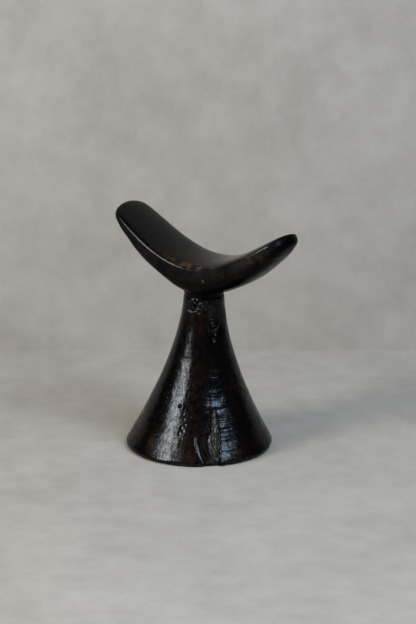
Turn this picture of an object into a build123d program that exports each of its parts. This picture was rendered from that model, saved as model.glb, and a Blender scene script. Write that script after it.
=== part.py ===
"""A carved headrest: a crescent pillow on a round neck and a hollowed conical foot.

Millimetres, +Z up. The origin is on the floor, under the pillow's middle lengthways and under the
foot's middle crossways. X runs along the pillow, Y across it. The wood is one carver's work, but it
comes apart at the neck: a round tenon on the foot stands in a blind mortise in the pillow, and a
small peg locks it.
"""

from build123d import *
from math import atan, cos, radians, sin
import os

os.makedirs("parts", exist_ok=True)

# Pillow
neck_x = -1.2                # the neck's axis, a little off the pillow's middle
neck_y = 2.4
seat_height = 141.8          # the edge line of the seat above the floor, at the middle
seat_rise = 0.00721          # that line rises by this times x squared ...
seat_straightening = 2.3e-7  # ... less this times x to the fourth, so the wings run nearly straight
seat_half_length = 75.0      # from the middle to a tip, measured level
pillow_half_length = 76.7    # the underside reaches a little further out than the seat
half_width_middle = 22.4
half_width_tip = 18.8
crown = 4.6                  # the seat stands this far above its edge line
depth_middle = 23.0          # the underside hangs this far below it
depth_tip = 8.7
tip_roundness = 3.9          # power of the superellipse that thins the tips
corner_radius = 7.0          # at the four corners, seen from above
tip_bulge = 4.5              # each end bows out this far between its corners

# Neck and tenon
shoulder_height = 118.0      # where the pillow sits on the neck
neck_radius = 14.4
tenon_radius = 9.0
tenon_length = 14.0
boss_height = 14.0           # the pillow's round seat reaches this far up into it
fit_gap = 0.1                # all round the tenon, the peg and the knot

# Foot
foot_x = -4.4                # the foot's centre on the floor; the cone leans from here to the neck
foot_radius_floor = 56.2
flare = 1.65                 # power of the cone's flare: 1 is straight, 2 is a parabola
rim_radius = 2.8
hollow_radius = 40.0         # at the floor
hollow_depth = 34.0
hollow_waist = (33.0, 20.0)  # the gouged wall bulges through this radius, at this height
hollow_top_radius = 14.0

# Peg through the pillow into the tenon
peg_bearing = radians(-54)   # where its head shows, around the neck
peg_head_out = 26.6          # its head's distance from the neck's axis
peg_head_height = 136.6
peg_dip = radians(24)        # it slopes down towards the neck
peg_half_width = 1.3
peg_half_height = 2.3
peg_length = 26.0
peg_spare = 8.0              # cut away flush with the pillow

# Knot in the neck
knot_bearing = radians(-27)
knot_height = 98.3
knot_radius = 3.0
knot_depth = 7.0

# Sliver between two drying cracks in the rim
sliver_bearing = radians(-42.5)
sliver_height = 38.0
sliver_left, sliver_right = -7.0, 5.8  # its sides at the rim
sliver_notch_height = 22.0   # above this its left crack runs up nearer to the middle
sliver_notch_left, sliver_notch_right = (-7.6, -2.4), 5.6
sliver_apex_width = 3.2
sliver_depth_rim = 6.0
sliver_depth_apex = 1.2
crack_gap = 0.3
below_floor = 6.0            # its outline runs on below the floor, and the foot's blank trims it


def seat_line(x):
    """Height of the seat's edge line at x, and its slope as an angle."""
    height = seat_height + seat_rise * x**2 - seat_straightening * x**4
    return height, atan(2 * seat_rise * x - 4 * seat_straightening * x**3)


def foot_radius(height):
    """Radius of the foot at a height: the neck's, and a flare that grows as a power towards the floor."""
    return neck_radius + (foot_radius_floor - neck_radius) * (1 - height / shoulder_height) ** flare


def foot_centre(height):
    """Centre of the foot at a height: the whole cone leans from the floor to the neck."""
    share = height / shoulder_height
    return Vector(foot_x + (neck_x - foot_x) * share, neck_y * share, height)


# ---------------------------------------------------------------- pillow
# The blank is lofted through sections square to the seat line: a low elliptical crown on top and a
# full, squarish belly below. It narrows and thins towards both tips. The ends are bowed and their
# corners rounded, seen from above, and a round boss under the middle reaches down to the shoulder.
with BuildPart() as pillow_blank:
    for share in (-0.985, -0.85, -0.5, 0, 0.5, 0.85, 0.985):
        x = share * seat_half_length
        height, slope = seat_line(x)
        thinning = (1 - abs(share) ** tip_roundness) ** (1 / tip_roundness)
        half_width = half_width_middle - (half_width_middle - half_width_tip) * share**2
        depth = (depth_tip + (depth_middle - depth_tip) * (1 - abs(share))) * thinning
        belly = 0.794  # a superellipse of the third power passes through this share of both half-axes
        square_to_seat = Plane(origin=(x, neck_y, height), x_dir=(0, 1, 0), z_dir=(cos(slope), 0, sin(slope)))
        with BuildSketch(square_to_seat):
            with BuildLine():
                near, bottom, far = (-half_width, 0), (0, -depth), (half_width, 0)
                Spline(near, (-belly * half_width, -belly * depth), bottom, tangents=((0, -1), (1, 0)))
                Spline(bottom, (belly * half_width, -belly * depth), far, tangents=((1, 0), (0, 1)))
                EllipticalCenterArc((0, 0), half_width, crown * thinning, start_angle=0, arc_size=90)
                EllipticalCenterArc((0, 0), half_width, crown * thinning, start_angle=90, arc_size=90)
            make_face()
    loft()
    with BuildSketch(Plane((0, neck_y, 0))) as from_above:
        with BuildLine():
            corner_x, corner_y = pillow_half_length - tip_bulge, half_width_tip + 1
            side_y = half_width_middle + 1
            near_left, near_right = (-corner_x, -corner_y), (corner_x, -corner_y)
            far_left, far_right = (-corner_x, corner_y), (corner_x, corner_y)
            ThreePointArc(near_left, (0, -side_y), near_right)
            ThreePointArc(near_right, (pillow_half_length, 0), far_right)
            ThreePointArc(far_right, (0, side_y), far_left)
            ThreePointArc(far_left, (-pillow_half_length, 0), near_left)
        make_face()
        fillet(from_above.vertices(), radius=corner_radius)
    extrude(amount=2 * seat_height, mode=Mode.INTERSECT)
    with BuildSketch(Plane((neck_x, neck_y, shoulder_height))):
        Circle(neck_radius)
    extrude(amount=boss_height)

# ---------------------------------------------------------------- foot blank
# The cone flares from the neck to a rounded rim, through circles whose centres lean to one side.
with BuildPart() as foot_blank:
    for height in (0, 20, 40, 60, 80, 100, shoulder_height):
        with BuildSketch(Plane(foot_centre(height))):
            Circle(foot_radius(height))
    loft()
    fillet(foot_blank.faces().sort_by(Axis.Z)[0].edges(), radius=rim_radius)

# ---------------------------------------------------------------- peg
# An oval peg, whittled by hand, square to its own slope. Its outer end is trimmed flush with the pillow.
peg_side = Vector(-sin(peg_bearing), cos(peg_bearing), 0)
peg_level = Vector(cos(peg_bearing), sin(peg_bearing), 0)
peg_out = peg_level * cos(peg_dip) + Vector(0, 0, sin(peg_dip))
peg_head = Vector(neck_x, neck_y, peg_head_height) + peg_level * peg_head_out
peg_foot_plane = Plane(origin=peg_head - peg_out * peg_length, x_dir=peg_side, z_dir=peg_out)

with BuildPart() as tenon_peg:
    with BuildSketch(peg_foot_plane):
        Ellipse(peg_half_width, peg_half_height)
    extrude(amount=peg_length + peg_spare)
    add(pillow_blank.part, mode=Mode.INTERSECT)
tenon_peg.part.label = "tenon_peg"

with BuildPart() as peg_hole:
    with BuildSketch(peg_foot_plane):
        Ellipse(peg_half_width + fit_gap, peg_half_height + fit_gap)
    extrude(amount=peg_length + peg_spare)

# ---------------------------------------------------------------- knot
# A round dead knot, loose in its own socket, dressed flush with the neck.
knot_side = Vector(-sin(knot_bearing), cos(knot_bearing), 0)
knot_out = Vector(cos(knot_bearing), sin(knot_bearing), 0)
knot_floor = foot_centre(knot_height) + knot_out * (foot_radius(knot_height) - knot_depth)
knot_floor_plane = Plane(origin=knot_floor, x_dir=knot_side, z_dir=knot_out)

with BuildPart() as neck_knot:
    with BuildSketch(knot_floor_plane):
        Circle(knot_radius)
    extrude(amount=2 * knot_depth)
    add(foot_blank.part, mode=Mode.INTERSECT)
neck_knot.part.label = "neck_knot"

with BuildPart() as knot_socket:
    with BuildSketch(knot_floor_plane):
        Circle(knot_radius + fit_gap)
    extrude(amount=2 * knot_depth)

# ---------------------------------------------------------------- sliver
# A tongue of wood between two cracks. Its back is a flat plane that comes nearer to the surface
# towards the apex, and it is parted from the foot by the cracks on both sides.
sliver_out = Vector(cos(sliver_bearing), sin(sliver_bearing), 0)
sliver_side = Vector(-sin(sliver_bearing), cos(sliver_bearing), 0)
back_at_rim = foot_centre(0) + sliver_out * (foot_radius(0) - sliver_depth_rim)
back_at_apex = foot_centre(sliver_height) + sliver_out * (foot_radius(sliver_height) - sliver_depth_apex)
back_length = (back_at_apex - back_at_rim).length
up_the_back = (back_at_apex - back_at_rim).normalized()
back_plane = Plane(origin=back_at_rim, x_dir=sliver_side, z_dir=sliver_side.cross(up_the_back))


def tongue(growth):
    """The sliver's outline in its back plane, larger than the sliver by the growth all round."""
    with BuildSketch(Plane.XY) as outline:
        with BuildLine():
            Polyline(
                (sliver_left, -below_floor),
                (sliver_right, -below_floor),
                (sliver_right, 0),
                (sliver_notch_right, sliver_notch_height),
                (sliver_apex_width, back_length - 2),
                (0, back_length),
                (sliver_notch_left[1], sliver_notch_height + 2),
                (sliver_notch_left[0], sliver_notch_height),
                (sliver_left, 4),
                close=True,
            )
        make_face()
        if growth:
            offset(amount=growth, kind=Kind.INTERSECTION)
    return back_plane * outline.sketch


with BuildPart() as split_sliver:
    extrude(tongue(0), amount=2 * sliver_depth_rim)
    add(foot_blank.part, mode=Mode.INTERSECT)
split_sliver.part.label = "split_sliver"

with BuildPart() as split:
    extrude(tongue(crack_gap), amount=2 * sliver_depth_rim)

# ---------------------------------------------------------------- pillow, bored for the tenon and the peg
with BuildPart() as pillow:
    add(pillow_blank.part)
    with BuildSketch(Plane((neck_x, neck_y, shoulder_height))):
        Circle(tenon_radius + fit_gap)
    extrude(amount=tenon_length + fit_gap, mode=Mode.SUBTRACT)
    add(peg_hole.part, mode=Mode.SUBTRACT)
pillow.part.label = "pillow"

# ---------------------------------------------------------------- foot, with its tenon, hollow and sockets
with BuildPart() as conical_foot:
    add(foot_blank.part)
    with BuildSketch(Plane((neck_x, neck_y, shoulder_height))):
        Circle(tenon_radius)
    extrude(amount=tenon_length)
    with BuildSketch(Plane(origin=(foot_x, 0, 0), x_dir=(1, 0, 0), z_dir=(0, -1, 0))):
        with BuildLine():
            Line((0, hollow_depth), (0, 0))
            Line((0, 0), (hollow_radius, 0))
            ThreePointArc((hollow_radius, 0), hollow_waist, (hollow_top_radius, hollow_depth))
            Line((hollow_top_radius, hollow_depth), (0, hollow_depth))
        make_face()
    revolve(axis=Axis((foot_x, 0, 0), (0, 0, 1)), mode=Mode.SUBTRACT)
    add(peg_hole.part, mode=Mode.SUBTRACT)
    add(knot_socket.part, mode=Mode.SUBTRACT)
    add(split.part, mode=Mode.SUBTRACT)
conical_foot.part.label = "conical_foot"

# ---------------------------------------------------------------- one STEP per piece
for piece in (pillow, conical_foot, tenon_peg, neck_knot, split_sliver):
    export_step(piece.part, f"parts/{piece.part.label}.step")
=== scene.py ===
"""A carved headrest of dark, oiled wood, as pieces that stand for its five CAD nodes.

Sizes are in millimetres and become metres where a mesh is made. The order is the order of putting it
together: pillow, foot, knot, sliver and peg, and then the stage, the lights and the camera.
"""

import bpy
import numpy as np
from mathutils import Matrix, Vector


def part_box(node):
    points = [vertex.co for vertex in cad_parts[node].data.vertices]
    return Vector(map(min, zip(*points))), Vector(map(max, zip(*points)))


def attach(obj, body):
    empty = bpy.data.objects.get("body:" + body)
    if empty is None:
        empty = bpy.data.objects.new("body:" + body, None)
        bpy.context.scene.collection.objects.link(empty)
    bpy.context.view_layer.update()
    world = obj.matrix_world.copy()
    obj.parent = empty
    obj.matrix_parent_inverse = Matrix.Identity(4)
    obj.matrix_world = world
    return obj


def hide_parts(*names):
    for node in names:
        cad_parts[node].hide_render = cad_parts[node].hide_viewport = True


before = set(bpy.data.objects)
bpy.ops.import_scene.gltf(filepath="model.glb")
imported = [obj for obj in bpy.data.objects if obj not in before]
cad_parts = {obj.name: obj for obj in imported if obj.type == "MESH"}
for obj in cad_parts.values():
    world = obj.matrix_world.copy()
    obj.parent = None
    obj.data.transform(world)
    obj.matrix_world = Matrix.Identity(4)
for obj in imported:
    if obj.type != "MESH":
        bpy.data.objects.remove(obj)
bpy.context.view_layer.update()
mm = 0.001

# ---------------------------------------------------------------- pillow
# The crescent that the head rests on, cut from one block of a dense, dark timber with an adze and a
# knife, and polished by years of oiled hair. Its seat is crowned a little, its belly is full, and its
# underside sits on the neck, round a mortise.

pillow_low, pillow_high = (np.array(corner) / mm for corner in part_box("pillow"))
neck_x, neck_y = -1.2, (pillow_low[1] + pillow_high[1]) / 2
shoulder_height = pillow_low[2]
neck_radius = 14.4
seat_length = 83.7            # from the middle to a tip, along the seat
seat_height = 141.8           # of the seat's edge line, at the middle
seat_rise, seat_straightening = 0.00721, 2.34e-7
half_width_middle = 22.4
depth_middle, depth_tip = 23.2, 8.7
right_wing_extra = 0.8        # the right wing is this much deeper
crown = 4.6                   # the seat's middle above its edge line
tip_bulge = 5.4               # each end bows out this far between its corners
belly_points, seat_points = 170, 120


def lumps(points, size, seed):
    """Slow unevenness from -1 to 1: random values at the corners of a lattice of the given size,
    blended across each cell by smoothstep weights."""
    cell = np.asarray(points) / size
    low = np.floor(cell).astype(int)
    share = cell - low
    share = share * share * (3 - 2 * share)
    lattice = np.random.default_rng(seed).uniform(-1, 1, (32, 32, 32))
    total = np.zeros(cell.shape[:-1])
    for corner in np.ndindex(2, 2, 2):
        weight = np.prod(np.where(corner, share, 1 - share), axis=-1)
        x, y, z = np.moveaxis((low + corner) % 32, -1, 0)
        total += weight * lattice[x, y, z]
    return total


def smooth_step(value, start, end):
    """0 before the start, 1 past the end, and a smooth S between them."""
    share = np.clip((value - start) / (end - start), 0, 1)
    return share * share * (3 - 2 * share)


def grid_normals(rings):
    """Normals of a grid whose columns wrap round: the cross product of its two central differences."""
    along = np.gradient(rings, axis=0)
    around = np.roll(rings, -1, axis=1) - np.roll(rings, 1, axis=1)
    normals = np.cross(around, along)
    return normals / np.maximum(np.linalg.norm(normals, axis=-1, keepdims=True), 1e-9)


def skin(name, rings, sharp_angle=50, **marks):
    """A closed skin over a grid of rings, given in millimetres: each cell is a quad, the columns wrap
    round, and a fan closes each end on the mean of its ring. Faces are turned outwards by the sign of
    the enclosed volume. Each mark is a value per grid point, kept as an attribute."""
    rows, columns = rings.shape[:2]
    points = np.vstack([rings.reshape(-1, 3), rings[0].mean(axis=0), rings[-1].mean(axis=0)]) * mm
    here = np.arange(columns)
    after = np.roll(here, -1)
    start = np.arange(rows - 1)[:, None] * columns
    quads = np.stack([start + here, start + after, start + columns + after, start + columns + here], axis=-1)
    quads = quads.reshape(-1, 4)
    last = (rows - 1) * columns
    fans = np.vstack([
        np.stack([after, here, np.full(columns, rows * columns)], axis=-1),
        np.stack([last + here, last + after, np.full(columns, rows * columns + 1)], axis=-1),
    ])
    a, b, c, d = (points[quads[:, k]] for k in range(4))
    volume = np.einsum("ij,ij->", a, np.cross(b, c)) + np.einsum("ij,ij->", a, np.cross(c, d))
    if volume < 0:
        quads, fans = quads[:, ::-1], fans[:, ::-1]
    mesh = bpy.data.meshes.new(name)
    mesh.from_pydata(points.tolist(), [], quads.tolist() + fans.tolist())
    mesh.polygons.foreach_set("use_smooth", np.ones(len(mesh.polygons), dtype=bool))
    mesh.set_sharp_from_angle(angle=np.radians(sharp_angle))
    for attribute, values in marks.items():
        values = np.append(values.ravel(), [values[0].mean(), values[-1].mean()])
        mesh.attributes.new(attribute, "FLOAT", "POINT").data.foreach_set("value", values)
    piece = bpy.data.objects.new(name, mesh)
    bpy.context.scene.collection.objects.link(piece)
    return piece


def even_steps(outline, count):
    """Points at even steps of arc length along an outline of many points."""
    lengths = np.append(0, np.cumsum(np.linalg.norm(np.diff(outline, axis=0), axis=1)))
    wanted = np.linspace(0, lengths[-1], count, endpoint=False)
    return np.stack([np.interp(wanted, lengths, outline[:, k]) for k in range(2)], axis=-1)


def pillow_section():
    """The section's outline at unit half-width, depth and crown, as (across, down, is seat) columns.

    The belly is the superellipse |a|^3 + |d|^3 = 1 below the edge line. The crown above it is an
    ellipse whose height is taken to the power 0.9. Both have even steps in true size at the middle."""
    size = np.array([half_width_middle, depth_middle])
    turn = np.linspace(0, np.pi, 2001)
    cosine, sine = np.cos(turn), np.sin(turn)
    belly = np.stack([-np.sign(cosine) * np.abs(cosine) ** (2 / 3), sine ** (2 / 3)], axis=-1)
    seat = np.stack([cosine, -sine**0.9], axis=-1)
    belly = even_steps(belly * size, belly_points) / size
    size[1] = crown
    seat = even_steps(seat * size, seat_points) / size
    across, down = np.vstack([belly, seat]).T
    return across, down, np.repeat([0.0, 1.0], [belly_points, seat_points])


def superellipse(share, power):
    """1 at the middle, and falling to 0 at a share of 1: (1 - |share|^power)^(1/power)."""
    return (1 - np.abs(share) ** power) ** (1 / power)


def pillow_rings():
    """Rings square to the seat line, whose height at x is 141.8 + 0.00721 x^2 - 2.34e-7 x^4, for shares u
    of the seat's length from tip to tip. The half-width falls by 0.162 u^2 and ends in the superellipse
    of the power 10, or 5.5 at the rounder near right corner. The depth falls from the middle to the tip
    and ends in the power 3.9 at the left and 5.5 at the blunter right, and the crown ends in 3.9. Both
    edges draw in towards a tip by 5.4 u^6 a^2 at a share a of the half-width, so that the end bows out."""
    level = np.linspace(0, 0.23, 46)
    wing = np.linspace(0.23, 0.985, 90)[1:]
    corner = superellipse(np.linspace(superellipse(wing[-1], 10), 0.05, 20)[1:], 10)
    half = np.concatenate([level, wing, corner])
    share = np.concatenate([-half[:0:-1], half])[:, None]
    x = np.linspace(0, 90, 901)
    slope = 2 * seat_rise * x - 4 * seat_straightening * x**3
    run = np.append(0, np.cumsum(np.hypot(1, (slope[1:] + slope[:-1]) / 2) * np.diff(x)))
    x = np.sign(share) * np.interp(np.abs(share) * seat_length, run, x)
    height = seat_height + seat_rise * x**2 - seat_straightening * x**4
    angle = np.arctan(2 * seat_rise * x - 4 * seat_straightening * x**3)
    closing = superellipse(share, 3.9)
    across, down, seat = pillow_section()
    narrowing = superellipse(share, np.where((share > 0) & (across < 0), 5.5, 10))
    half_width = half_width_middle * (1 - 0.162 * share**2) * narrowing
    depth = depth_tip + (depth_middle - depth_tip) * (1 - np.abs(share) ** 0.9)
    depth += right_wing_extra * smooth_step(share, 0.1, 0.5)
    depth *= superellipse(share, np.where(share > 0, 5.5, 3.9))
    down = np.where(down > 0, down * depth, down * crown * closing)
    bow = -tip_bulge * share**6 * np.sign(share) * (across * narrowing) ** 2
    rings = np.stack([
        x + np.sin(angle) * down + bow * np.cos(angle),
        neck_y + across * half_width,
        height - np.cos(angle) * down + bow * np.sin(angle),
    ], axis=-1)
    return rings, *(np.broadcast_to(mark, rings.shape[:2]) for mark in (seat, across, closing))


rings, seat, across, closing = pillow_rings()
normals = grid_normals(rings)
if normals[len(rings) // 2, belly_points // 2, 2] > 0:  # the belly faces down
    normals = -normals
unevenness = 0.35 * lumps(rings, 15, 1) + 0.12 * lumps(rings, 5, 2)
facets = 0.10 * lumps(rings * (0.35, 1, 1), 2.6, 3) * (1 - seat)
unevenness = (unevenness * (1 - 0.6 * seat) + facets) * smooth_step(closing, 0.1, 0.7)
rings = rings + normals * unevenness[..., None]

# The underside reaches down to the shoulder inside the neck's radius, and up again in the mortise.
tenon_radius, tenon_top = 9.0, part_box("conical_foot")[1][2] / mm
mortise_gap = 0.15
from_neck = np.hypot(rings[..., 0] - neck_x, rings[..., 1] - neck_y)
underside = (seat < 0.5) & (rings[..., 2] < seat_height)
collar = (1 - smooth_step(from_neck, neck_radius - 0.1, neck_radius + 1.3)) * underside
rings[..., 2] += (shoulder_height - rings[..., 2]) * collar
mortise = (1 - smooth_step(from_neck, tenon_radius + mortise_gap, tenon_radius + 0.6)) * underside
rings[..., 2] += (tenon_top + 0.1 - rings[..., 2]) * mortise

edge_distance = (1 - np.abs(across)) * half_width_middle
edge_wear = np.exp(-edge_distance / 0.8)
brown = np.zeros(rings.shape[:2])
for centre, reach, amount in (
    ((8, -17, 144), (34, 4, 4), 1.3),     # rubbed arris on the near side of the seat
    ((2, -20, 132), (11, 6, 7), 0.35),    # bare patch on the near face
    ((-42, -19, 148), (20, 6, 9), 0.3),   # speckles near the left tip
    ((57, -17, 160), (8, 6, 4), 1.9),     # reddish patch near the right tip
):
    away = (((rings - centre) / reach) ** 2).sum(axis=-1)
    brown += amount * np.exp(-away)
speckle = 0.35 + 0.8 * lumps(rings, 3.2, 4) + 0.7 * lumps(rings * (0.5, 1, 1), 1.3, 5)
brown = np.clip(brown * (0.42 + 0.58 * seat) * speckle, 0, 1)

# The film of dried oil is thickest on the seat, thin below it, and worn off the right tip. It gathers
# again on the edges of the right wing.
matt_tip = (1 - smooth_step(closing, 0.55, 0.8)) * (rings[..., 0] > 0)
film = (0.05 + 0.38 * seat * (0.72 + 0.30 * across) - 0.02 * edge_wear) * (1 - 0.95 * matt_tip)
film += 0.25 * edge_wear * smooth_step(rings[..., 0], 35, 50) * (1 - matt_tip)

pillow = skin("carved_pillow", rings, edge_wear=edge_wear, brown=brown, film=film)


def node(tree, kind, inputs=None, **settings):
    """A node with its settings, and its inputs linked or given values by name or number."""
    made = tree.nodes.new("ShaderNode" + kind)
    for name, value in settings.items():
        setattr(made, name, value)
    for name, value in (inputs or {}).items():
        if isinstance(value, bpy.types.NodeSocket):
            tree.links.new(value, made.inputs[name])
        else:
            made.inputs[name].default_value = value
    return made


def sums(tree, operation, first, second=0.0, third=0.0, clamp=False):
    """One sum on values."""
    made = node(tree, "Math", {0: first, 1: second, 2: third}, operation=operation, use_clamp=clamp)
    return made.outputs[0]


def blend(tree, share, first, second):
    """The colour between two colours at a share from 0 to 1."""
    made = node(tree, "Mix", {0: share, 6: first, 7: second}, data_type="RGBA")
    return made.outputs[2]


def mark(tree, name):
    """The value of a mesh attribute."""
    return node(tree, "Attribute", attribute_name=name).outputs["Fac"]


def noise(tree, place, scale, detail=3.0, roughness=0.5):
    """Noise at a place, as a value about 0.5."""
    inputs = {"Vector": place, "Scale": scale, "Detail": detail, "Roughness": roughness}
    return node(tree, "TexNoise", inputs).outputs["Fac"]


def ramp(tree, value, low, high, start=0.0, end=1.0):
    """The value carried from one range to another, and kept inside it."""
    inputs = {"Value": value, "From Min": low, "From Max": high, "To Min": start, "To Max": end}
    return node(tree, "MapRange", inputs, clamp=True).outputs[0]


def oiled_wood_group():
    """Dark, oiled wood: grain drawn out along the fibres, slow blotches, fine mottling, smears and pores
    with dust in them. Its colour is for the base colour, its roughness for the shader, its height for a
    bump, and its blotches for wear that follows them."""
    pore_dust = (0.004, 0.003, 0.0025, 1)
    tree = bpy.data.node_groups.new("oiled wood", "ShaderNodeTree")
    for side, names in (
        ("INPUT", {"Fibres": "Vector", "Dark": "Color", "Warm": "Color", "Warmth": "Float", "Polish": "Float"}),
        ("OUTPUT", {"Color": "Color", "Roughness": "Float", "Height": "Float", "Blotch": "Float"}),
    ):
        for name, kind in names.items():
            tree.interface.new_socket(name, in_out=side, socket_type="NodeSocket" + kind)
    given = tree.nodes.new("NodeGroupInput").outputs
    result = tree.nodes.new("NodeGroupOutput").inputs
    place = node(tree, "TexCoord").outputs["Object"]
    fibres = node(tree, "VectorMath", {0: place, 1: given["Fibres"]}, operation="MULTIPLY").outputs[0]
    grain = noise(tree, fibres, 1.0, 5.0, 0.6)
    fine_grain = noise(tree, fibres, 3.1, 3.0, 0.6)
    blotch = noise(tree, place, 52.0, 4.0, 0.55)
    mottle = noise(tree, place, 380.0, 4.0, 0.6)
    smear = noise(tree, place, 140.0, 3.0, 0.6)
    pores = node(tree, "TexVoronoi", {"Vector": fibres, "Scale": 1.4}, feature="F1").outputs["Distance"]
    pore = ramp(tree, pores, 0.10, 0.24, 1.0, 0.0)
    warm_share = ramp(tree, sums(tree, "ADD", blotch, sums(tree, "MULTIPLY", smear, 0.35)), 0.62, 0.86)
    warm_share = sums(tree, "MULTIPLY", warm_share, given["Warmth"], clamp=True)
    warm_share = sums(tree, "MULTIPLY", warm_share, ramp(tree, grain, 0.3, 0.62, 0.35, 1.0))
    color = blend(tree, warm_share, given["Dark"], given["Warm"])
    color = blend(tree, sums(tree, "MULTIPLY", pore, 0.5), color, pore_dust)
    tree.links.new(color, result["Color"])
    dull = ramp(tree, mottle, 0.38, 0.70, 0.0, 0.10)
    dull = sums(tree, "ADD", dull, ramp(tree, smear, 0.45, 0.75, 0.0, 0.10))
    dull = sums(tree, "ADD", dull, given["Polish"])
    tree.links.new(sums(tree, "MULTIPLY_ADD", pore, 0.25, dull), result["Roughness"])
    height = sums(tree, "MULTIPLY", grain, 0.55)
    height = sums(tree, "MULTIPLY_ADD", fine_grain, 0.28, height)
    height = sums(tree, "MULTIPLY_ADD", mottle, 0.14, height)
    height = sums(tree, "MULTIPLY_ADD", pore, -0.2, height)
    tree.links.new(height, result["Height"])
    tree.links.new(blotch, result["Blotch"])
    return tree


oiled_wood = oiled_wood_group()
wood_gloss = 0.02             # the wood mirrors almost nothing itself: its gloss is the film's


def wood_material(name, fibres, dark, warm, warmth, polish, film_roughness=0.17):
    """A material with one shader: the oiled wood group in it, under a thin film of dried oil and grease
    whose thickness later lines give. Also the sockets that they link."""
    material = bpy.data.materials.new(name)
    material.use_nodes = True
    tree = material.node_tree
    shader = tree.nodes["Principled BSDF"]
    wood = tree.nodes.new("ShaderNodeGroup")
    wood.node_tree = oiled_wood
    shader.inputs["Specular IOR Level"].default_value = wood_gloss
    shader.inputs["Coat Roughness"].default_value = film_roughness
    given = {"Fibres": fibres, "Dark": dark, "Warm": warm, "Warmth": warmth, "Polish": polish}
    for socket, value in given.items():
        wood.inputs[socket].default_value = value
    return material, tree, shader, wood.outputs


def dress(tree, shader, bump):
    """The same bump for the wood and for the film on it."""
    tree.links.new(bump.outputs[0], shader.inputs["Normal"])
    tree.links.new(bump.outputs[0], shader.inputs["Coat Normal"])


# The second colour is a pale blue-grey for the arris: partly worn wood, partly a painted highlight along the
# edge.
rubbed_brown, worn_edge_highlight_grey = (0.034, 0.0135, 0.0065, 1), (0.008, 0.007, 0.007, 1)
pillow_wood, tree, shader, wood = wood_material(
    "pillow wood", (70, 620, 620), (0.0010, 0.0008, 0.0008, 1), (0.0028, 0.0013, 0.0008, 1), 0.8, 0.10)
color = blend(tree, mark(tree, "brown"), wood["Color"], rubbed_brown)
# The arris is painted paler in blotches: partly wear, partly a painted highlight that adds to the window's
# gleam on the edge.
rubbed_edge_highlight = sums(tree, "MULTIPLY", mark(tree, "edge_wear"), ramp(tree, wood["Blotch"], 0.35, 0.6))
color = blend(tree, sums(tree, "MULTIPLY", rubbed_edge_highlight, 0.6), color, worn_edge_highlight_grey)
tree.links.new(color, shader.inputs["Base Color"])
roughness = sums(tree, "MULTIPLY_ADD", mark(tree, "brown"), 0.16, wood["Roughness"])
roughness = sums(tree, "MULTIPLY_ADD", mark(tree, "edge_wear"), 0.12, roughness)
tree.links.new(roughness, shader.inputs["Roughness"])
tree.links.new(mark(tree, "film"), shader.inputs["Coat Weight"])
bump = node(tree, "Bump", {"Height": wood["Height"], "Strength": 0.6, "Distance": 0.00012})
dress(tree, shader, bump)
pillow.data.materials.append(pillow_wood)
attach(pillow, "root")
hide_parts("pillow")

# ---------------------------------------------------------------- foot
# The flared cone that it stands on, turned by eye rather than on a lathe: it leans a little to one side
# and carries the level ridges of the scraper. Underneath it is gouged hollow to a flat ring, and its
# tenon stands in the pillow. Drying has split the rim, and pits and a crease mark its front.

foot_low, foot_high = (np.array(corner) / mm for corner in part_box("conical_foot"))
rim_radius = 2.8
rim_outside = (foot_high[0] - foot_low[0]) / 2
foot_x, foot_y = (foot_low[0] + foot_high[0]) / 2, (foot_low[1] + foot_high[1]) / 2
floor_radius = 56.2           # where the cone's line would meet the floor, without its rounded rim
hollow_radius, hollow_depth, hollow_top_radius, hollow_bend = 40.0, 34.0, 14.0, 4.6
socket_height, socket_bearing, socket_radius, socket_depth = 98.3, np.radians(-27), 3.3, 4.0


def foot_radius(height):
    """The neck's radius and a flare that grows as the power 1.65 towards the floor, cut off at the floor
    by the rim's arc."""
    height = np.asarray(height, dtype=float)
    cone = neck_radius + (floor_radius - neck_radius) * np.maximum(1 - height / shoulder_height, 0) ** 1.65
    low = np.clip(height, 0, 2 * rim_radius)
    arc = rim_outside - rim_radius + np.sqrt(rim_radius**2 - (rim_radius - low) ** 2)
    return np.where(height < rim_radius * 1.5, np.minimum(arc, cone), cone)


def foot_point(height, bearing, radius):
    """The point at a height, a bearing and a radius from the foot's leaning axis."""
    share = np.clip(height / shoulder_height, 0, 1)
    return np.stack(np.broadcast_arrays(
        foot_x + (neck_x - foot_x) * share + radius * np.cos(bearing),
        foot_y + (neck_y - foot_y) * share + radius * np.sin(bearing),
        height + 0.0 * bearing,
    ), axis=-1)


# The split in the rim, as the heights of its outline's corners and the bearings of its two sides. Its
# bottom lies deepest at the floor.
split_top, split_depths = 38.2, (6.4, 1.8)
split_heights = np.array([0, 4, 9.5, 16, 21, 23, 30, 37, split_top])
split_left = np.radians([-49.0, -49.4, -52.0, -54.6, -53.6, -46.0, -44.4, -43.6, -42.6])
split_right = np.radians([-36.4, -36.0, -35.6, -35.0, -34.4, -34.3, -35.0, -36.4, -41.6])


def along_surface(height, bearing, to_height, to_bearing):
    """Distance over the foot's surface from a point to the others, in millimetres."""
    sideways = (bearing - to_bearing) * foot_radius(height)
    return np.hypot(sideways, height - to_height)


def groove(height, bearing, line, width):
    """1 on a line of (height, bearing in degrees) corners, and falling as a bell over its width."""
    near = np.full(np.broadcast(height, bearing).shape, 1e9)
    for (h0, b0), (h1, b1) in zip(line[:-1], line[1:]):
        steps = max(2, int(abs(h1 - h0) + abs(b1 - b0)))
        for share in np.linspace(0, 1, 2 * steps):
            away = along_surface(height, bearing, h0 + (h1 - h0) * share, np.radians(b0 + (b1 - b0) * share))
            near = np.minimum(near, away)
    return np.exp(-((near / width) ** 2))


def split_share(height, bearing):
    """Across the split: 0 at its left side and 1 at its right side, at a height."""
    left = np.interp(height, split_heights, split_left)
    right = np.interp(height, split_heights, split_right)
    return (bearing - left) / (right - left)


def scraped(height, bearing):
    """How plain the scraper's ridges are: faint on the neck, strong low down and at the front right."""
    front_right = smooth_step(bearing, np.radians(-75), np.radians(-50))
    return smooth_step(-height, -100, -45) * (0.5 + 0.6 * front_right)


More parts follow.
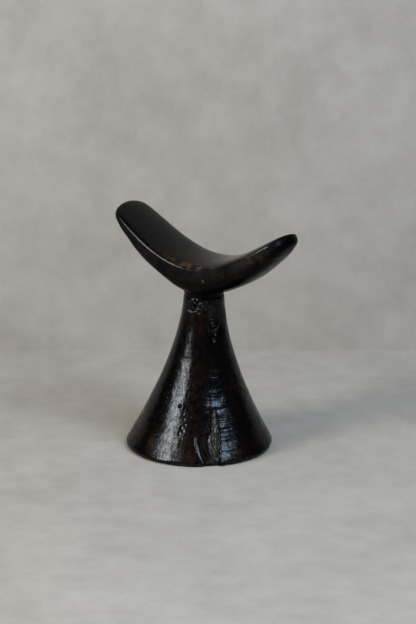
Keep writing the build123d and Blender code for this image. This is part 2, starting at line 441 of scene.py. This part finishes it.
def foot_relief(height, bearing):
    """How far the carved surface stands off the true cone: slow lumps, the scraper's level ridges, a
    crease, pits, cracks and their lips."""
    radius = foot_radius(height)
    place = foot_point(height, bearing, radius)
    relief = 0.75 + 0.36 * lumps(place, 17, 11) + 0.12 * lumps(place, 6, 12)
    dents = 0.07 * lumps(place / (1, 1, 2.4), 2.6, 16) + 0.03 * lumps(place / (1, 1, 3.5), 1.1, 17)
    relief += dents * smooth_step(-height, -88, -50)
    level = np.stack(np.broadcast_arrays(bearing * 2.2, height / 2.3, 0 * bearing), axis=-1)
    fine = np.stack(np.broadcast_arrays(bearing * 4.0, height / 1.05, 0 * bearing), axis=-1)
    relief += scraped(height, bearing) * (0.07 * lumps(level, 1, 13) + 0.03 * lumps(fine, 1, 14))
    front = np.exp(-(((bearing - np.radians(-40)) / np.radians(15)) ** 4))
    crease = 0.42 * np.exp(-(((height - 41.0) / 1.8) ** 2)) - 0.45 * np.exp(-(((height - 38.3) / 0.9) ** 2))
    relief += front * crease
    relief += 0.30 * front * np.exp(-(((height - 27.0) / 1.5) ** 2)) * (bearing > np.radians(-36))
    random = np.random.default_rng(15)
    # Pits as (height, bearing in degrees, size, depth): three by themselves, and three groups, of which
    # two ring the neck and one is low at the left.
    pits = [(40.6, -78, 1.1, 1.2), (91.8, -24.6, 0.7, 0.7), (87.5, -28.2, 0.9, 0.8)]
    for count, heights, bearings, sizes, steepness in (
        (26, (108, 116.5), (-50, 18), (0.3, 0.7), 1.3),
        (24, (107.5, 116.5), (-83, 8), (0.5, 1.05), 1.1),
        (15, (20, 37), (-68, 4), (0.35, 0.8), 0.4),
    ):
        group = random.uniform(*heights, count), random.normal(*bearings, count), random.uniform(*sizes, count)
        pits += [(*pit, steepness * pit[2]) for pit in zip(*group)]
    for pit_height, pit_bearing, size, depth in pits:
        away = along_surface(height, bearing, pit_height, np.radians(pit_bearing))
        relief -= depth * np.exp(-((away / size) ** 2))
        relief += 0.08 * depth * np.exp(-(((away - 1.7 * size) / (0.6 * size)) ** 2))
    crack_above = [(38, -42.3), (43, -41.6), (48, -41.9), (54, -41.0)]
    left_lip = [(20, -57.0), (16, -56.8), (11, -54.8), (6, -51.8), (3, -50.2)]
    right_crack = [(37, -35.4), (30, -33.2), (22, -33.6), (9, -35.2)]
    relief -= 0.5 * groove(height, bearing, crack_above, 0.35)
    relief += 0.42 * groove(height, bearing, left_lip, 0.55)
    relief -= 0.5 * groove(height, bearing, right_crack, 0.5)
    return relief


def foot_rings():
    """The foot's whole outline, from the top of the hollow out under the rim, up the wall and over the
    shoulder to the top of the tenon, carried round the leaning axis. The relief is on the wall only, and
    with it the split, the knot's socket and the chips in the rim. The steps are finest at the front."""
    hollow = np.linspace(0, 1, 26)
    bend = np.sin(np.pi * hollow) * hollow_bend
    run = np.array([hollow_radius - hollow_top_radius, -hollow_depth])
    across = np.array([hollow_depth, hollow_radius - hollow_top_radius]) / np.hypot(*run)
    hollow_wall = np.array([hollow_top_radius, hollow_depth]) + hollow[:, None] * run + bend[:, None] * across
    arc = np.radians(np.linspace(-90, 30, 15))[:-1]
    rim = (rim_outside - rim_radius, rim_radius) + rim_radius * np.stack([np.cos(arc), np.sin(arc)], axis=-1)
    wall_height = np.linspace(rim_radius * 1.5, shoulder_height, 240)
    wall = np.stack([foot_radius(wall_height), wall_height], axis=-1)
    tenon_edge = (tenon_radius, foot_high[2] - 0.6)
    inside = np.vstack([
        np.linspace((0.5, hollow_depth), (hollow_top_radius, hollow_depth), 6)[:-1],
        hollow_wall,
        np.linspace((hollow_radius, 0), (rim_outside - rim_radius, 0), 10)[1:-1],
    ])
    tenon = np.vstack([
        np.linspace((neck_radius, shoulder_height), (tenon_radius, shoulder_height), 4)[1:],
        np.linspace((tenon_radius, shoulder_height), tenon_edge, 8)[1:],
        (tenon_radius - 0.6, foot_high[2]),
        np.linspace((tenon_radius - 0.6, foot_high[2]), (0.5, foot_high[2]), 4)[1:],
    ])
    profile = np.vstack([inside, rim, wall, tenon])
    on_wall = np.repeat([0.0, 1.0, 0.0], [len(inside), len(rim) + len(wall), len(tenon)])[:, None]
    fine = np.arange(-102, -20, 0.5)
    coarse = np.arange(-20, 258, 2.3)
    bearing = np.radians(np.concatenate([fine, coarse]))[None, :]
    radius, height = profile[:, :1], profile[:, 1:]
    relief = foot_relief(height, bearing) * on_wall
    relief *= smooth_step(shoulder_height - height, -0.5, 1.6)
    share = split_share(height, bearing)
    side = np.minimum(share, 1 - share) * np.interp(height, split_heights, split_right - split_left) * radius
    in_split = smooth_step(side, -0.15, 0.35) * (height < split_top) * on_wall
    relief -= in_split * np.interp(height, (0, split_top), split_depths)
    knot_away = along_surface(height, bearing, socket_height, socket_bearing)
    relief -= socket_depth * (1 - smooth_step(knot_away, socket_radius - 0.6, socket_radius)) * on_wall
    relief += 0.35 * np.exp(-(((knot_away - 4.0) / 0.7) ** 2)) * on_wall
    random = np.random.default_rng(21)
    chips = [random.uniform(low, high, 26) for low, high in ((-110, 200), (1.0, 3.2), (0.2, 0.9))]
    for chip_bearing, size, depth in zip(*chips):
        away = along_surface(height, bearing, 1.2, np.radians(chip_bearing))
        relief -= depth * np.exp(-((away / size) ** 2)) * on_wall
    return foot_point(height, bearing, radius + relief), height, bearing, on_wall * (1 - in_split)


rings, height, bearing, outside = foot_rings()
foot_brown = np.zeros(rings.shape[:2])
for at_height, at_bearing, tall, wide, amount in (
    (13, -102, 6, 16, 0.25),    # bare rim at the left
    (60, -58, 60, 9, 0.10),     # reddish wood between the polished strips
    (30, -68, 22, 9, 0.10),     # and left of them, low down
    (105, -30, 10, 25, 0.12),   # round the neck above the knot
    (8, -60, 5, 9, 0.14),       # rim left of the split
):
    away = ((height - at_height) / tall) ** 2 + ((bearing - np.radians(at_bearing)) / np.radians(wide)) ** 2
    foot_brown += amount * np.exp(-away)
foot_brown = np.clip(foot_brown * (0.55 + 0.8 * lumps(rings, 3.4, 22)), 0, 1)
foot = skin("carved_foot", rings, brown=foot_brown * outside, outside=outside, scraped=scraped(height, bearing))

bare_brown = (0.035, 0.014, 0.007, 1)
raw_dark, raw_pale = (0.006, 0.0040, 0.0026, 1), (0.017, 0.0105, 0.0065, 1)  # unoiled, in the hollow
foot_wood, tree, shader, wood = wood_material(
    "foot wood", (620, 620, 70), (0.0009, 0.0008, 0.0008, 1), (0.0058, 0.0021, 0.0013, 1), 0.8, 0.12)
color = blend(tree, mark(tree, "brown"), wood["Color"], bare_brown)
raw = blend(tree, wood["Blotch"], raw_dark, raw_pale)
color = blend(tree, mark(tree, "outside"), raw, color)
tree.links.new(color, shader.inputs["Base Color"])
roughness = sums(tree, "MULTIPLY_ADD", mark(tree, "brown"), 0.12, wood["Roughness"])
roughness = sums(tree, "MULTIPLY_ADD", mark(tree, "outside"), -0.45, sums(tree, "ADD", roughness, 0.45))
tree.links.new(roughness, shader.inputs["Roughness"])
film = ramp(tree, wood["Height"], 0.40, 0.57, 0.08, 0.52)
tree.links.new(sums(tree, "MULTIPLY", film, mark(tree, "outside")), shader.inputs["Coat Weight"])
place = node(tree, "TexCoord").outputs["Object"]
level = node(tree, "VectorMath", {0: place, 1: (40, 40, 900)}, operation="MULTIPLY").outputs[0]
ridges = noise(tree, level, 1.0, 2.0, 0.5)
patchy = sums(tree, "MULTIPLY", ramp(tree, wood["Blotch"], 0.38, 0.60, 0.25, 1.5), mark(tree, "scraped"))
height_sum = sums(tree, "MULTIPLY_ADD", ridges, patchy, wood["Height"])
bump = node(tree, "Bump", {"Height": height_sum, "Strength": 0.8, "Distance": 0.00022})
dress(tree, shader, bump)
foot.data.materials.append(foot_wood)
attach(foot, "root")
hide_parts("conical_foot")

# ---------------------------------------------------------------- knot
# A small dead knot in the neck. It is the end of a branch: a plug of harder, darker wood with its own
# rings, loose in its socket and rubbed flush.

knot_radius, knot_depth = 3.0, 6.8
face_rings, side_rings, back_rings = 22, 6, 5


def knot_rings():
    """Rings of a plug: out across its face, over its edge and back inside, where the face stands off the
    cone by a low dome with ripples of growth rings."""
    closing = np.linspace(1, 0.05, back_rings + 1)[1:]
    reach = np.concatenate([np.linspace(0.05, 1, face_rings), np.ones(side_rings), closing])[:, None]
    going_in = np.linspace(0, 1, side_rings + 1)[1:]
    sunk = np.concatenate([np.zeros(face_rings), going_in, np.ones(back_rings)])[:, None] * knot_depth
    turn = np.linspace(0, 2 * np.pi, 72, endpoint=False)[None, :]
    wobble = 1 + 0.05 * np.sin(2 * turn + 1) + 0.03 * np.sin(5 * turn)
    sideways = reach * knot_radius * wobble * np.cos(turn)
    upwards = reach * knot_radius * wobble * np.sin(turn)
    height = socket_height + upwards
    radius = foot_radius(height)
    face = 0.25 * (1 - reach**2) + 0.09 * np.sin(reach * 17) - 0.35 * reach**8
    face = face + 0.1 * lumps(np.stack(np.broadcast_arrays(sideways, upwards, 0 * turn), axis=-1), 0.8, 31)
    bearing = socket_bearing + sideways / radius
    return foot_point(height, bearing, radius + np.where(sunk > 0, -sunk - 0.3, face)), reach + 0 * turn


rings, reach = knot_rings()
knot = skin("neck_knot_plug", rings, reach=reach)
ring_brown, knot_film = (0.007, 0.0038, 0.0026, 1), 0.12
knot_wood, tree, shader, wood = wood_material(
    "knot wood", (300, 300, 300), (0.0012, 0.0010, 0.0009, 1), (0.006, 0.0028, 0.0018, 1), 0.7, 0.2)
circles = sums(tree, "SINE", sums(tree, "MULTIPLY", mark(tree, "reach"), 26.0))
color = blend(tree, ramp(tree, circles, -0.6, 1.0, 0.0, 0.55), wood["Color"], ring_brown)
tree.links.new(color, shader.inputs["Base Color"])
tree.links.new(wood["Roughness"], shader.inputs["Roughness"])
shader.inputs["Coat Weight"].default_value = knot_film
bump = node(tree, "Bump", {"Height": wood["Height"], "Strength": 0.6, "Distance": 0.00015})
dress(tree, shader, bump)
knot.data.materials.append(knot_wood)
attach(knot, "root")
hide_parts("neck_knot")

# ---------------------------------------------------------------- sliver
# The torn tongue of wood between two drying cracks at the rim. Its skin is gone, so it shows paler,
# unoiled fibres that stand in uneven strips, lowest along the left side.

sliver_depths = (5.9, 1.5)    # of its flat rear at the floor and at its top, just short of the split's
cone_there = 46               # the cone's radius at about the sliver's height


def sliver_rings():
    """Level rings down the split: across the front from side to side, sunk under the cone by a depth
    that is greatest at the lower left and broken into fibres, and back along a flat rear."""
    height = np.concatenate([np.linspace(split_top - 0.4, 3.2, 88), np.linspace(3.2, 0.35, 12)[1:]])[:, None]
    share = np.linspace(0.02, 0.98, 46)[None, :]
    left = np.interp(height, split_heights, split_left)
    right = np.interp(height, split_heights, split_right)
    bearing = left + (right - left) * share
    lower = smooth_step(25 - height, 0, 6)
    sunk = 0.5 + 2.6 * (1 - smooth_step(share, 0.15, 0.5)) * (1 - lower)
    lower_left, lower_right = 1 - smooth_step(share, 0.36, 0.56), np.maximum(share - 0.55, 0) / 0.45
    sunk = sunk + lower * (3.2 * lower_left + 0.5 * lower_right)
    sunk = sunk + (1.0 - sunk) * 0.75 * smooth_step(6 - height, 0, 4)
    sideways = share * (right - left) * cone_there
    strands = np.stack(np.broadcast_arrays(sideways, height / 9, 0 * share), axis=-1)
    splinters = np.stack(np.broadcast_arrays(sideways, height / 2.2, 0 * share), axis=-1)
    fibres = 0.65 * lumps(strands, 0.9, 41) + 0.40 * lumps(strands, 0.45, 42) + 0.30 * lumps(splinters, 0.7, 43)
    sunk = sunk - fibres
    front = foot_point(height, bearing, foot_radius(height) - np.maximum(sunk, 0.05))
    depth = np.interp(height, (0, split_top), sliver_depths)
    back_bearing = left + (right - left) * np.linspace(0.98, 0.02, 10)[None, :]
    behind = np.maximum(depth, sunk.max(axis=1, keepdims=True) + 0.2)
    back = foot_point(height, back_bearing, foot_radius(height) - behind)
    sunk = np.concatenate([sunk, 0 * back_bearing + depth], axis=1)
    return np.concatenate([front, back], axis=1), sunk


rings, sunk = sliver_rings()
sliver = skin("split_fibres", rings, sharp_angle=35, sunk=sunk)
strip_shadow = (0.0042, 0.0034, 0.0012, 1)
fibre_wood, tree, shader, wood = wood_material(
    "bare fibres", (700, 700, 60), (0.0028, 0.0024, 0.0016, 1), (0.026, 0.021, 0.0105, 1), 1.0, 0.22, 0.24)
deep = ramp(tree, mark(tree, "sunk"), 0.6, 2.2)
color = blend(tree, deep, wood["Color"], strip_shadow)
tree.links.new(color, shader.inputs["Base Color"])
tree.links.new(sums(tree, "MULTIPLY_ADD", deep, 0.35, wood["Roughness"]), shader.inputs["Roughness"])
tree.links.new(sums(tree, "MULTIPLY_ADD", deep, -0.44, 0.46), shader.inputs["Coat Weight"])
bump = node(tree, "Bump", {"Height": wood["Height"], "Strength": 1.0, "Distance": 0.0004})
dress(tree, shader, bump)
sliver.data.materials.append(fibre_wood)
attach(sliver, "root")
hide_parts("split_sliver")

# ---------------------------------------------------------------- peg
# A whittled peg of paler, orange wood, driven obliquely through the pillow into the tenon and trimmed
# with a knife, so that its end grain shows as a small oval.

peg_bearing, peg_dip = np.radians(-54), np.radians(24)
peg_head_out, peg_head_height, peg_length = 26.6, 136.6, 25.5
peg_half_width, peg_half_height = 1.3, 2.3


def peg_rings():
    """Oval rings along the peg, from its inner end to a domed, frayed head."""
    level = np.array([np.cos(peg_bearing), np.sin(peg_bearing), 0])
    side = np.array([-np.sin(peg_bearing), np.cos(peg_bearing), 0])
    outwards = level * np.cos(peg_dip) + np.array([0, 0, np.sin(peg_dip)])
    upwards = np.cross(outwards, side)
    head = np.array([neck_x, neck_y, peg_head_height]) + level * peg_head_out
    dome = np.linspace(0, np.pi / 2, 16)
    shaft = np.linspace(-peg_length, -0.5, 24)
    along = np.concatenate([shaft, -0.5 + 0.8 * np.sin(dome[1:-1])])[:, None, None]
    reach = np.concatenate([np.ones(len(shaft)), np.cos(dome[1:-1]) ** 0.5])[:, None, None]
    turn = np.linspace(0, 2 * np.pi, 56, endpoint=False)[None, :, None]
    wobble = 1 + 0.06 * np.sin(3 * turn + 0.5) + 0.03 * np.sin(7 * turn)
    section = side * np.cos(turn) * peg_half_width + upwards * np.sin(turn) * peg_half_height
    rings = head + outwards * along + section * reach * wobble
    return rings + outwards * (0.12 * lumps(rings, 0.6, 51) * (along[..., 0] > -0.6))[..., None]


peg = skin("oval_peg", peg_rings())
peg_wood, tree, shader, wood = wood_material(
    "peg wood", (500, 500, 500), (0.050, 0.020, 0.008, 1), (0.10, 0.042, 0.016, 1), 1.0, 0.42)
tree.links.new(wood["Color"], shader.inputs["Base Color"])
tree.links.new(wood["Roughness"], shader.inputs["Roughness"])
bump = node(tree, "Bump", {"Height": wood["Height"], "Strength": 0.8, "Distance": 0.0002})
dress(tree, shader, bump)
peg.data.materials.append(peg_wood)
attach(peg, "root")
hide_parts("tenon_peg")

# ---------------------------------------------------------------- stage
# A pale, warm grey floor and a backdrop of the same plaster, a hand's length behind the headrest. Both
# are one-sided, so that they hide nothing from behind or from below.

view_bearing, view_rise = np.radians(-90 + 36.97), np.radians(17.84)
view_level = np.array([np.cos(view_bearing), np.sin(view_bearing), 0])
view_side = np.array([-np.sin(view_bearing), np.cos(view_bearing), 0])
backdrop_distance, backdrop_height, backdrop_reach = 225.0, 1500, 420
floor_reach = 2600


def sheet_mesh(name, grid):
    """An open sheet over a grid of points."""
    rows, columns = grid.shape[:2]
    start = np.arange(rows - 1)[:, None] * columns + np.arange(columns - 1)
    quads = np.stack([start, start + 1, start + columns + 1, start + columns], axis=-1).reshape(-1, 4)
    mesh = bpy.data.meshes.new(name)
    mesh.from_pydata((grid.reshape(-1, 3) * mm).tolist(), [], quads.tolist())
    sheet = bpy.data.objects.new(name, mesh)
    bpy.context.scene.collection.objects.link(sheet)
    return sheet


def stage_grid(back, up, reach):
    """A strip carried sideways by its reach: its two edges are this far back from the middle and up."""
    back, up = np.array(back), np.array(up)
    side = reach * np.linspace(-1, 1, 9)
    return (-view_level * back[:, None, None] + view_side * side[:, None]
            + np.array([0, 0, 1]) * up[:, None, None])


floor = sheet_mesh("floor", stage_grid((-floor_reach, floor_reach), (0, 0), floor_reach))
backdrop = sheet_mesh(
    "backdrop", stage_grid((backdrop_distance, backdrop_distance), (0, backdrop_height), backdrop_reach))
plaster_dark, plaster_pale = (0.226, 0.190, 0.148, 1), (0.278, 0.237, 0.188, 1)
plaster = bpy.data.materials.new("plaster")
plaster.use_nodes = True
tree = plaster.node_tree
shader = tree.nodes["Principled BSDF"]
place = node(tree, "TexCoord").outputs["Object"]
cloud = noise(tree, place, 9.0, 5.0, 0.6)
trowelled = noise(tree, place, 46.0, 5.0, 0.65)
cloud = sums(tree, "MULTIPLY_ADD", trowelled, 0.6, sums(tree, "MULTIPLY", cloud, 0.6))
color = blend(tree, ramp(tree, cloud, 0.45, 0.75), plaster_dark, plaster_pale)
tree.links.new(color, shader.inputs["Base Color"])
shader.inputs["Roughness"].default_value = 0.85
clear = node(tree, "BsdfTransparent")
behind = node(tree, "NewGeometry").outputs["Backfacing"]
either = node(tree, "MixShader", {0: behind, 1: shader.outputs[0], 2: clear.outputs[0]})
tree.links.new(either.outputs[0], tree.nodes["Material Output"].inputs["Surface"])
for sheet in (floor, backdrop):
    sheet.data.materials.append(plaster)

# ---------------------------------------------------------------- lights
# A tall window at the left, a bluer one high at the right, and a broad fill that lights the plaster and
# shows in no gloss.


def window(name, bearing, rise, distance, width, tall, radiance, color, seen_in_gloss=True):
    """An area light at a bearing and a rise from the object, turned to face it. Its power gives the
    radiance: power = radiance x area x pi."""
    lamp = bpy.data.lights.new(name, "AREA")
    lamp.shape = "RECTANGLE"
    lamp.size, lamp.size_y = width * mm, tall * mm
    lamp.energy = radiance * width * tall * mm**2 * np.pi
    lamp.color = color
    bearing, rise = np.radians(bearing), np.radians(rise)
    direction = np.array([np.cos(bearing) * np.cos(rise), np.sin(bearing) * np.cos(rise), np.sin(rise)])
    side = np.array([-np.sin(bearing), np.cos(bearing), 0])
    upwards = np.cross(direction, side)
    turned = np.eye(4)
    turned[:3, 0], turned[:3, 1], turned[:3, 2] = side, upwards, direction
    turned[:3, 3] = (direction * distance + (0, 0, 90)) * mm
    light = bpy.data.objects.new(name, lamp)
    light.matrix_world = Matrix(turned.tolist())
    light.visible_glossy = seen_in_gloss
    bpy.context.scene.collection.objects.link(light)


window("window_left", -112, 26, 1500, 570, 850, 22.0, (0.88, 0.94, 1.0))
window("window_right", -10, 46, 1600, 800, 1050, 16.5, (0.56, 0.74, 1.0))
window("fill", -53, 62, 1700, 1500, 1500, 1.0, (1.0, 0.955, 0.90), seen_in_gloss=False)

world = bpy.data.worlds.new("dim room")
world.use_nodes = True
world.node_tree.nodes["Background"].inputs[0].default_value = (0.014, 0.014, 0.015, 1)
bpy.context.scene.world = world
bpy.context.scene.view_settings.view_transform = "Standard"

# ---------------------------------------------------------------- camera
# A long lens, from the front and well to the right, looking down a little on the pillow.

camera_data = bpy.data.cameras.new("camera")
camera_data.lens, camera_data.sensor_width = 213.05, 36.0
camera_data.clip_end = 20.0
camera = bpy.data.objects.new("camera", camera_data)
camera_distance, target = 2748, np.array([1.13, 4.13, 103.49])
away = view_level * np.cos(view_rise) + np.array([0, 0, np.sin(view_rise)])
turned = np.eye(4)
turned[:3, 0], turned[:3, 1], turned[:3, 2] = view_side, np.cross(away, view_side), away
turned[:3, 3] = (target + away * camera_distance) * mm
camera.matrix_world = Matrix(turned.tolist())
bpy.context.scene.collection.objects.link(camera)
bpy.context.scene.camera = camera
